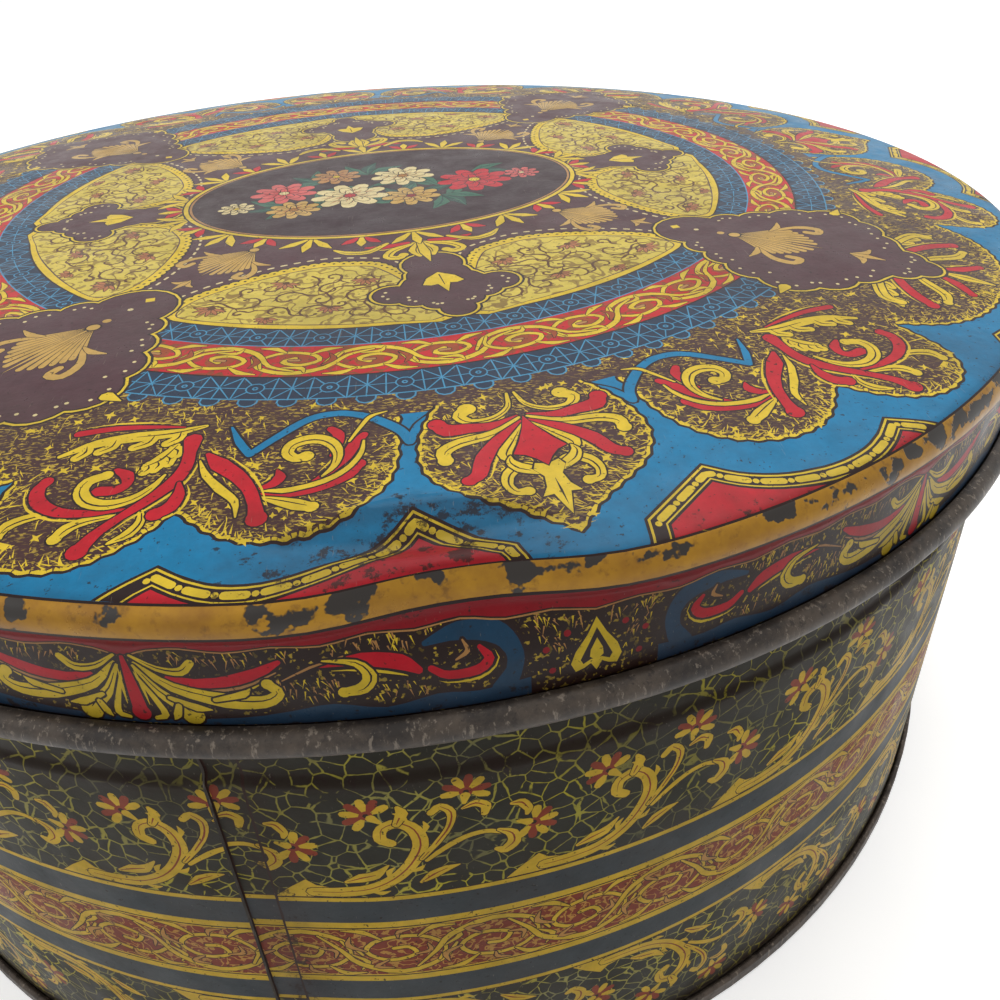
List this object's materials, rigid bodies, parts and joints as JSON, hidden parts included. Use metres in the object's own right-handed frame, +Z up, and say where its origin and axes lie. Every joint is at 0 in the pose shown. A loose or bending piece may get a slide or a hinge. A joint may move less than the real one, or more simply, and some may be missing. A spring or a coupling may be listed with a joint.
{
  "type": "round cake tin",
  "caption": "Round printed tinplate cake tin with a necked body, a folded side seam, a double-seamed base and a slip lid with a crowned top and a curled edge.",
  "frame": {"origin": "middle of the ring that the tin stands on, at table height", "axes": "+Z up along the axis of the tin; the side seam stands at 260 degrees from +X about +Z"},
  "size_m": [0.2534, 0.2534, 0.1094],
  "materials": {
    "body_print": "printed and varnished tinplate, worn",
    "base_tinplate": "dull tarnished tinplate",
    "lid_print": "printed and varnished tinplate, worn"
  },
  "bodies": {
    "tin": {"body_wall": "body_print", "base_plate": "base_tinplate"},
    "lid": {"lid": "lid_print"}
  },
  "joints": [
    {"name": "lid_lift", "type": "slide", "parent": "tin", "child": "lid", "axis": [0, 0, 1], "range_m": [0, 0.06]}
  ]
}
